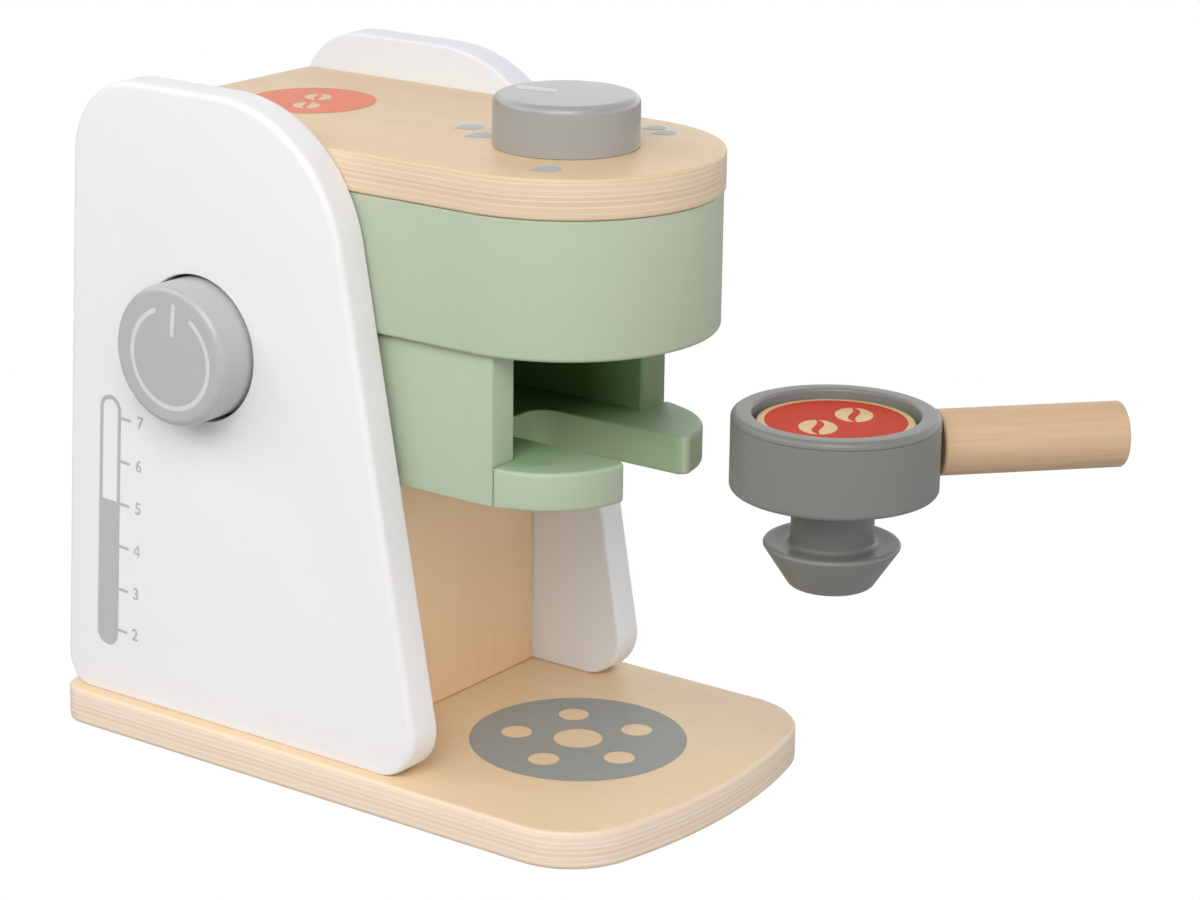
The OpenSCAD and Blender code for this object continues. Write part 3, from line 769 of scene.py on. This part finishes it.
def dial():
    """The dial: its axle in the top plate, and a cap with a rounded top edge."""
    seat = PLATE_TOP + 0.02
    profile = [(0, DIAL_FOOT), (AXLE_R, DIAL_FOOT), (AXLE_R, seat), (DIAL_R - 0.2, seat),
               (DIAL_R, seat + 0.2)]
    profile += arc(DIAL_R - KNOB_EDGE, DIAL_TOP - KNOB_EDGE, KNOB_EDGE, 0, 90, 12)
    piece = turned("dial", profile + [(0, DIAL_TOP)], DIAL_GREY, (0, NOSE_Y, 0))
    ride(piece, "dial", "grey_gloss", "dial_knob")


def power_button():
    """The button: its stem, the flange that keeps it in, and the cap. Heights are places on X."""
    profile = [(0, STEM_END), (STEM_R, STEM_END), (STEM_R, FLANGE_BACK), (FLANGE_R, FLANGE_BACK),
               (FLANGE_R, FLANGE_FRONT), (CAP_R, FLANGE_FRONT)]
    profile += arc(CAP_R - KNOB_EDGE, CAP_X + KNOB_EDGE, KNOB_EDGE, 0, -90, 12)
    piece = turned("push_button", profile + [(0, CAP_X)], GREY, (0, CAP_Y, CAP_Z), "X")
    ride(piece, "button", "grey_gloss", "power_button")


dial()
power_button()

# ---------------------------------------------------------------- cup, handle, pad

CUP_INNER_R, CUP_FLOOR, CUP_WALL_TOP = 22.0, CUP_Z + 2.6, CUP_Z + 17.0
NOSE_R, NOSE_FLAT_R, NOSE_TIP_R, NOSE_SLOPE = 16.5, 8.91, 2.0, -32.7
TENON_R, RECESS_R = 21.4, 20.0
HANDLE_TURN, HANDLE_UP, HANDLE_R, HANDLE_L = 47.0, 10.4, 8.0, 46.0


def cup():
    """The cup from its pouring nose up through the neck to the bowl, and down its inside."""
    profile = [(0, NOSE_Z)]
    profile += arc(NOSE_FLAT_R, NOSE_Z + NOSE_TIP_R, NOSE_TIP_R, -90, NOSE_SLOPE, 8)
    profile += arc(NOSE_R - 0.75, NOSE_Z + 10.15, 0.75, NOSE_SLOPE, 80, 8)
    profile += [(15.1, NOSE_Z + 10.88), (13.2, NOSE_Z + 10.62)]
    profile += arc(NECK_R + 1.3, NOSE_Z + 11.65, 1.25, 262, 180, 8)
    profile += [(NECK_R, NOSE_Z + 12.6), (NECK_R, CUP_Z - 0.7)]
    profile += arc(NECK_R + 0.5, CUP_Z - 0.5, 0.5, 180, 90, 4)[1:]
    profile += arc(CUP_R - 1.3, CUP_Z + 1.3, 1.3, -90, 0, 8)
    profile += [(CUP_R, CUP_WALL_TOP - 0.2), (CUP_R - 0.2, CUP_WALL_TOP), (CUP_INNER_R, CUP_WALL_TOP),
                (CUP_INNER_R, CUP_FLOOR), (0, CUP_FLOOR)]
    piece = turned("cup", profile, DARK, (0, CUP_Y, 0))
    ride(piece, "portafilter", "grey_satin", "cup_shell")


def cup_ring():
    """The rim with the recess for the pad, and the seam under it."""
    seam, recess = RIM_Z - 2, RIM_Z - 6.2
    profile = [(0, RIM_Z - 7.8), (TENON_R, RIM_Z - 7.8), (TENON_R, seam), (CUP_R - 0.25, seam),
               (CUP_R, seam + 0.25)]
    profile += arc(CUP_R - 1.5, RIM_Z - 1.5, 1.5, 0, 90, 10)
    profile += arc(RECESS_R + 0.8, RIM_Z - 0.8, 0.8, 90, 180, 8)
    profile += [(RECESS_R, recess + 0.3), (RECESS_R - 0.3, recess), (0, recess)]
    piece = turned("cup_ring", profile, DARK, (0, CUP_Y, 0))
    ride(piece, "portafilter", "grey_satin", "cup_insert")


def handle():
    """A dowel that stands square on the bowl's side, turned from the front to the right."""
    turn = math.radians(HANDLE_TURN)
    direction = Vector((math.sin(turn), -math.cos(turn), 0))
    profile = [(0, 0), (HANDLE_R - 0.4, 0), (HANDLE_R, 0.4), (HANDLE_R, HANDLE_L - 0.8)]
    profile += arc(HANDLE_R - 0.8, HANDLE_L - 0.8, 0.8, 0, 90, 6)[1:] + [(0, HANDLE_L)]
    piece = turned("grip", profile, HANDLE_WOOD)
    foot = Vector((0, CUP_Y, CUP_Z + HANDLE_UP)) + direction * (CUP_R + 0.02)
    pointing = direction.to_track_quat("Z", "Y").to_matrix().to_4x4()
    piece.matrix_world = Matrix.Translation(foot * MM) @ pointing
    ride(piece, "portafilter", "handle_wood", "handle")


def coffee_pad():
    profile = [(0, 0), (PAD_R - 0.4, 0), (PAD_R, 0.4)]
    profile += arc(PAD_R - 0.6, PAD_H - 0.6, 0.6, 0, 90, 6) + [(0, PAD_H)]
    piece = turned("pad", profile, PAD_PLY)
    piece.matrix_world = Matrix.Translation((0, CUP_Y * MM, PAD_Z * MM))
    ride(piece, "pad", "plywood", "coffee_pad")


cup()
cup_ring()
handle()
coffee_pad()

# ---------------------------------------------------------------- prints


def decal(name, groups, place, mat, body, slot):
    """Flat printed shapes. Each group is an outline and its holes, drawn in the place's plane."""
    verts, faces = [], []
    for loops in groups:
        parts = []
        for loop in loops:
            parts.append((len(verts), loop))
            verts += [place(u, v) for u, v in loop]
        faces += filled(parts)
    up = Vector(place(1, 0, True)).cross(Vector(place(0, 1, True)))

    def face_up(bm):
        bm.normal_update()
        bmesh.ops.reverse_faces(bm, faces=[f for f in bm.faces if f.normal.dot(up) < 0])

    return ride(add(name, mesh(name, verts, faces, mat, face_up)), body, slot)


def flat_at(x0, y0, z, turn=0.0):
    """A horizontal drawing plane: its origin, height and rotation in degrees. As the other
    planes do, it gives a direction and not a point when vec is true."""
    c, s = polar(1.0, turn)

    def place(u, v, vec=False):
        x, y = c * u - s * v, s * u + c * v
        return (x, y, 0) if vec else (x0 + x, y0 + y, z)

    return place


def side_at(x):
    """The drawing plane on a left-hand face at x, seen from outside: u runs towards the front."""
    return lambda u, v, vec=False: (0, -u, v) if vec else (x, -u, v)


# printed discs: radius and turn in degrees, and the top one's place
PAD_PRINT_R, PAD_PRINT_TURN = 17.0, -54.4
TOP_PRINT_X, TOP_PRINT_Y, TOP_PRINT_R, TOP_PRINT_TURN = 2.3, 45.4, 16.8, -48.0
# coffee beans: centre, width and length, in the disc's own plane
PAD_BEANS = ((4.62, 5.2, 9.2, 12.0), (-4.62, -5.2, 9.2, 12.0))
TOP_BEANS = ((1.8, 4.8, 6.95, 9.1), (-1.5, -6.0, 6.95, 9.1))
GROOVE_STEPS = 18


def bean(cx, cy, width, length):
    """A coffee bean's outline and its curved groove, both as closed loops."""
    left, right = [], []
    for i in range(GROOVE_STEPS + 1):
        t = i / GROOVE_STEPS
        y = (0.5 - t) * length * 1.02
        mid = width * 0.085 * math.sin(2 * math.pi * t)
        half = width * (0.012 + 0.103 * math.sin(math.pi * t) ** 0.8)
        left.append((cx + mid - half, cy + y))
        right.append((cx + mid + half, cy + y))
    return oval(cx, cy, width / 2, length / 2, 48), left + right[::-1]


def bean_print(name, place, r, beans, mat, body):
    """A printed disc in which the beans stay bare, but for their grooves."""
    outlines, grooves = zip(*[bean(*b) for b in beans])
    groups = [[circle(0, 0, r, 128)] + [loop[::-1] for loop in outlines]]
    groups += [[loop] for loop in grooves]
    decal(name, groups, place, mat, body, "plywood")


# drip rings: the disc, its middle hole, and five holes round it
DRIP_R, DRIP_MID_R, DRIP_HOLE_R, DRIP_RING_R, DRIP_HOLES = 28.1, 6.35, 4.0, 16.4, 5
DRIP_X, DRIP_Y, DRIP_TURN = 0.3, -43.6, 40


def drip_print():
    """The printed drip tray under the cup's nose."""
    holes = [circle(0, 0, DRIP_MID_R, 64)[::-1]]
    for k in range(DRIP_HOLES):
        x, y = polar(DRIP_RING_R, DRIP_TURN + 360 / DRIP_HOLES * k)
        holes.append(circle(x, y, DRIP_HOLE_R, 48)[::-1])
    decal("drip_print", [[circle(0, 0, DRIP_R, 160)] + holes],
          flat_at(DRIP_X, DRIP_Y, BASE_TOP + INK), DRIP, "machine", "plywood")


# water drops on the top plate: place and radius; all point the same way
DROPS = ((1.8, -7.4, 3.1), (-4.2, -15.4, 3.1), (-24.8, -51.3, 3.1), (30.4, -43.9, 2.6),
         (26.9, -49.2, 2.6))
DROP_TURN, DROP_TIP = 148, 1.6


def drop(cx, cy, r):
    """A water drop: a round end with a pointed tip."""
    tangent = math.degrees(math.acos(1 / DROP_TIP))
    points = [(DROP_TIP * r, 0)] + arc(0, 0, r, tangent, 360 - tangent, 28)
    c, s = polar(1.0, DROP_TURN)
    return [(cx + c * x - s * y, cy + s * x + c * y) for x, y in points]


# the pale mark on the dial, from its rim to its middle
DIAL_MARK = [(0.2, 15.6), (-3.5, 12.4), (-1.4, 2.2), (2.6, 4.6)]

# the power sign on the button, seen from outside: a ring with a gap, and a bar in the gap
SIGN_U, SIGN_V, SIGN_R, SIGN_LINE = -39.5, 110.3, 12.7, 1.25
SIGN_START, SIGN_SWEEP, SIGN_STEPS = 34.5, 303, 80
SIGN_BAR = ((-38.65, 116.75), (-37.85, 124.15))


def clock(radius, degrees):
    """A point at a clock angle from up, on the button as seen from outside."""
    a = math.radians(degrees)
    return SIGN_U + radius * math.sin(a), SIGN_V + radius * math.cos(a)


def round_end(p, q, r):
    """The half circle that closes a line at p, where it comes from q."""
    out = math.degrees(math.atan2(p[1] - q[1], p[0] - q[0]))
    return arc(p[0], p[1], r, out - 90, out + 90, 6)[1:-1]


def stroke(points, width):
    """The outline of a line of constant width with round ends."""
    half = width / 2
    right, left = [], []
    for i, (x, y) in enumerate(points):
        before, after = Vector(points[max(0, i - 1)]), Vector(points[min(len(points) - 1, i + 1)])
        d = (after - before).normalized()
        right.append((x + d.y * half, y - d.x * half))
        left.append((x - d.y * half, y + d.x * half))
    return (right + round_end(points[-1], points[-2], half)
            + left[::-1] + round_end(points[0], points[1], half))


def power_print():
    ring = [clock(SIGN_R, SIGN_START + SIGN_SWEEP * i / SIGN_STEPS) for i in range(SIGN_STEPS + 1)]
    decal("power_print", [[stroke(ring, SIGN_LINE)], [stroke(SIGN_BAR, SIGN_LINE)]],
          side_at(CAP_X - INK * 0.6), LIGHT, "button", "grey_gloss")


bean_print("pad_print", flat_at(0, CUP_Y, PAD_Z + PAD_H + INK, PAD_PRINT_TURN), PAD_PRINT_R,
           PAD_BEANS, RED, "pad")
bean_print("top_print", flat_at(TOP_PRINT_X, TOP_PRINT_Y, PLATE_TOP + INK, TOP_PRINT_TURN),
           TOP_PRINT_R, TOP_BEANS, RED_TOP, "machine")
drip_print()
decal("drop_print", [[drop(*d)] for d in DROPS], flat_at(0, 0, PLATE_TOP + INK), BLUE, "machine",
      "plywood")
decal("dial_mark", [[DIAL_MARK]], flat_at(0, NOSE_Y, DIAL_TOP + INK * 0.6), LIGHT, "dial",
      "grey_gloss")
power_print()

# ---------------------------------------------------------------- level gauge
# a capsule that leans forward, filled up to the figure 5, with ticks and figures beside it

LEAN = math.radians(3.5)
FOOT_U, FOOT_V, TALL, WIDE, LINE, FILL = -74.3, 27.2, 62.3, 3.65, 1.1, 64.3
TICK_L, TICK_H = 3.4, 0.4
# each figure's tick height, and the place of its left edge
MARKS = {7: (87.4, -61.25), 6: (75.6, -62.25), 5: (63.9, -62.95), 4: (52.1, -64.05),
         3: (40.1, -64.55), 2: (28.5, -65.55)}
FIGURE_H, FIGURE_DOWN, FIGURE_BOLD = 3.35, 1.75, 0.018
# the font's own 4 closes its hole when it is thickened, so this outline stands for it
FOUR = (((0.44, 0), (0.57, 0), (0.57, 0.24), (0.7, 0.24), (0.7, 0.35), (0.57, 0.35), (0.57, 1),
         (0.43, 1), (0, 0.36), (0, 0.24), (0.44, 0.24)),
        ((0.44, 0.35), (0.13, 0.35), (0.44, 0.81)))
PANEL = side_at(-OUT - INK)


def gauge_axis(height):
    """Where the capsule's middle line is at a height."""
    return FOOT_U + (height - FOOT_V) * math.tan(LEAN)


def capsule(r):
    u, v = TALL * math.sin(LEAN), TALL * math.cos(LEAN)
    up = 90 - math.degrees(LEAN)
    return (arc(FOOT_U, FOOT_V, r, up + 90, up + 270, 16)
            + arc(FOOT_U + u, FOOT_V + v, r, up - 90, up + 90, 16))


def clip_above(loop, height):
    """The part of a loop above a line square to the gauge, which crosses its middle at a height."""
    def above(p):
        return (p[0] - gauge_axis(height)) * math.sin(LEAN) + (p[1] - height) * math.cos(LEAN)

    out = []
    for p, q in zip(loop, loop[1:] + loop[:1]):
        if above(p) >= 0:
            out.append(p)
        if (above(p) >= 0) != (above(q) >= 0):
            t = above(p) / (above(p) - above(q))
            out.append((p[0] + (q[0] - p[0]) * t, p[1] + (q[1] - p[1]) * t))
    return out


def tick(height):
    """A short line beside the gauge, square to it."""
    u = gauge_axis(height) + WIDE / math.cos(LEAN)
    fall = TICK_L * math.tan(LEAN)
    low, high = height - TICK_H, height + TICK_H
    return [(u, low), (u + TICK_L, low - fall), (u + TICK_L, high - fall), (u, high)]


def figure_plane(u, v):
    """The drawing plane of a figure that leans with the gauge, its lower left corner at u, v."""
    def place(x, y, vec=False):
        if vec:
            return PANEL(x, y, True)
        return PANEL(u + x + (y - FIGURE_H / 2) * math.sin(LEAN), v + y - x * math.sin(LEAN))

    return place


def font_figure(text, place):
    """A figure of Blender's own font as a flat mesh on the left panel."""
    name = "figure_" + text
    curve = bpy.data.curves.new(name, "FONT")
    curve.body = text
    curve.size = 1.0
    curve.offset = FIGURE_BOLD
    curve.resolution_u = 6
    draft = add("figure_draft", curve)
    bpy.context.view_layer.update()
    form = bpy.data.meshes.new_from_object(draft.evaluated_get(bpy.context.evaluated_depsgraph_get()))
    bpy.data.objects.remove(draft)
    bpy.data.curves.remove(curve)
    left = min(p.co.x for p in form.vertices)
    low, high = (limit(p.co.y for p in form.vertices) for limit in (min, max))
    scale = FIGURE_H / (high - low)
    for p in form.vertices:
        p.co = Vector(place((p.co.x - left) * scale * 0.98, (p.co.y - low) * scale)) * MM
    form.materials.clear()
    form.materials.append(GAUGE)
    ride(add(name, form), "machine", "white_paint")


def figure_4(place):
    loops = [[(x * FIGURE_H, y * FIGURE_H) for x, y in loop] for loop in FOUR]
    decal("figure_4", [loops], place, GAUGE, "machine", "white_paint")


glass = [capsule(WIDE), clip_above(capsule(WIDE - LINE), FILL)[::-1]]
decal("gauge_print", [glass] + [[tick(height)] for height, _ in MARKS.values()], PANEL, GAUGE,
      "machine", "white_paint")
for figure, (height, left_edge) in MARKS.items():
    corner = figure_plane(left_edge, height - FIGURE_DOWN)
    if figure == 4:
        figure_4(corner)
    else:
        font_figure(str(figure), corner)

# ---------------------------------------------------------------- CAD nodes kept

FINISH = {"back_board": BACK_PLY, "button_block": BLOCK_WOOD, "dowel_pins": PIN_WOOD,
          "button_spring": STEEL, "dial_washer": STEEL, "dial_screw": STEEL,
          "handle_screw": STEEL, "base_screws": STEEL}
for node_name, finish in FINISH.items():
    slots = NODES[node_name].data.materials
    slots.clear()
    slots.append(finish)

# ---------------------------------------------------------------- floor and studio

FLOOR_HALF, FLOOR_Z = 6000.0, -0.1

# brightness of the studio's white walls, low down and half way up, and overhead
LOW_FRONT, LOW_RIGHT = 1.55, 1.68
MID_LEFT, MID_RIGHT, MID_BACK = 1.3, 0.9, 1.5
OVERHEAD = 0.2


def floor():
    """A pale floor that the camera sees as plain white, and that lights the object from below."""
    material = bpy.data.materials.new("floor")
    material.use_nodes = True
    g = Graph(material.node_tree)
    pale = g.node("ShaderNodeBsdfDiffuse")
    g.put(pale.inputs["Color"], (0.5, 0.5, 0.5, 1.0))
    g.white_to_camera(pale, "ShaderNodeEmission", "ShaderNodeOutputMaterial")
    form = bpy.data.meshes.new("floor")
    corners = ((-1, -1), (1, -1), (1, 1), (-1, 1))
    form.from_pydata([(x * FLOOR_HALF * MM, y * FLOOR_HALF * MM, FLOOR_Z * MM) for x, y in corners],
                   [], [(0, 1, 2, 3)])
    form.materials.append(material)
    add("floor", form)


def studio():
    """A world that is bright where the studio's walls are, and plain white to the camera."""
    world = bpy.data.worlds.new("studio")
    bpy.context.scene.world = world
    world.use_nodes = True
    g = Graph(world.node_tree)
    direction = g.node("ShaderNodeSeparateXYZ")
    g.put(direction.inputs[0], g.node("ShaderNodeTexCoord").outputs["Generated"])
    x, y, z = direction.outputs
    across = g.total(g.product(x, x), g.product(y, y), 1e-5)

    def wall_light(value, sign, brightness):
        """Full where the direction points along the signed axis, none a quarter turn away."""
        toward = g.math("MAXIMUM", g.product(value, sign), 0.0)
        return g.product(g.math("DIVIDE", g.product(toward, toward), across), brightness)

    def blend(a, b, share):
        return g.total(a, g.product(g.math("SUBTRACT", b, a), share))

    low = g.total(wall_light(y, -1.0, LOW_FRONT), wall_light(x, 1.0, LOW_RIGHT))
    mid = g.total(wall_light(x, -1.0, MID_LEFT), wall_light(x, 1.0, MID_RIGHT),
                  wall_light(y, 1.0, MID_BACK))
    strength = blend(low, mid, g.level(z, 0.2, 0.4, curve="SMOOTHSTEP"))
    strength = blend(strength, OVERHEAD, g.level(z, 0.6, 0.8, curve="SMOOTHSTEP"))
    light = g.node("ShaderNodeBackground")
    g.put(light.inputs["Color"], (1.0, 1.0, 1.0, 1.0))
    g.put(light.inputs["Strength"], strength)
    g.white_to_camera(light, "ShaderNodeBackground", "ShaderNodeOutputWorld")


floor()
studio()

# ---------------------------------------------------------------- lamps and camera

LAMP_AIM = Vector((0, 0, 0.08))


def lamp(name, place, size, power):
    """A round soft lamp; its place and size are in metres."""
    light = bpy.data.lights.new(name, "AREA")
    light.shape = "DISK"
    light.size = size
    light.energy = power
    holder = add(name, light)
    holder.location = place
    holder.rotation_euler = (LAMP_AIM - Vector(place)).to_track_quat("-Z", "Y").to_euler()


lamp("key", (-1.25, -0.55, 1.25), 1.4, 12.2)
lamp("key_front", (-1.0, -1.0, 1.35), 1.2, 7.4)
lamp("back", (-1.0, 0.9, 1.1), 0.9, 3.2)

# the photograph's view: where the camera stands and how it is turned, in degrees and millimetres
AZIMUTH, ELEVATION, ROLL = -54.441, 17.328, 0.751
AIM, DISTANCE = Vector((20.99, -34.57, 81.06)), 846.16
FOCAL_PX, PHOTO_W, SENSOR = 3282.2, 1200, 36.0


def camera():
    azimuth, elevation, roll = (math.radians(a) for a in (AZIMUTH, ELEVATION, ROLL))
    level_right = Vector((math.cos(azimuth), math.sin(azimuth), 0))
    back = Vector((math.sin(azimuth) * math.cos(elevation), -math.cos(azimuth) * math.cos(elevation),
                   math.sin(elevation)))
    level_up = back.cross(level_right)
    right = level_right * math.cos(roll) + level_up * math.sin(roll)
    up = level_up * math.cos(roll) - level_right * math.sin(roll)
    data = bpy.data.cameras.new("camera")
    data.sensor_fit = "HORIZONTAL"
    data.sensor_width = SENSOR
    data.lens = FOCAL_PX / PHOTO_W * SENSOR
    data.clip_start = 0.02
    data.clip_end = 30.0
    holder = add("camera", data)
    turn = Matrix((right, up, back)).transposed().to_4x4()
    holder.matrix_world = Matrix.Translation((AIM + back * DISTANCE) * MM) @ turn
    bpy.context.scene.camera = holder


camera()

bpy.context.scene.view_settings.view_transform = "Standard"
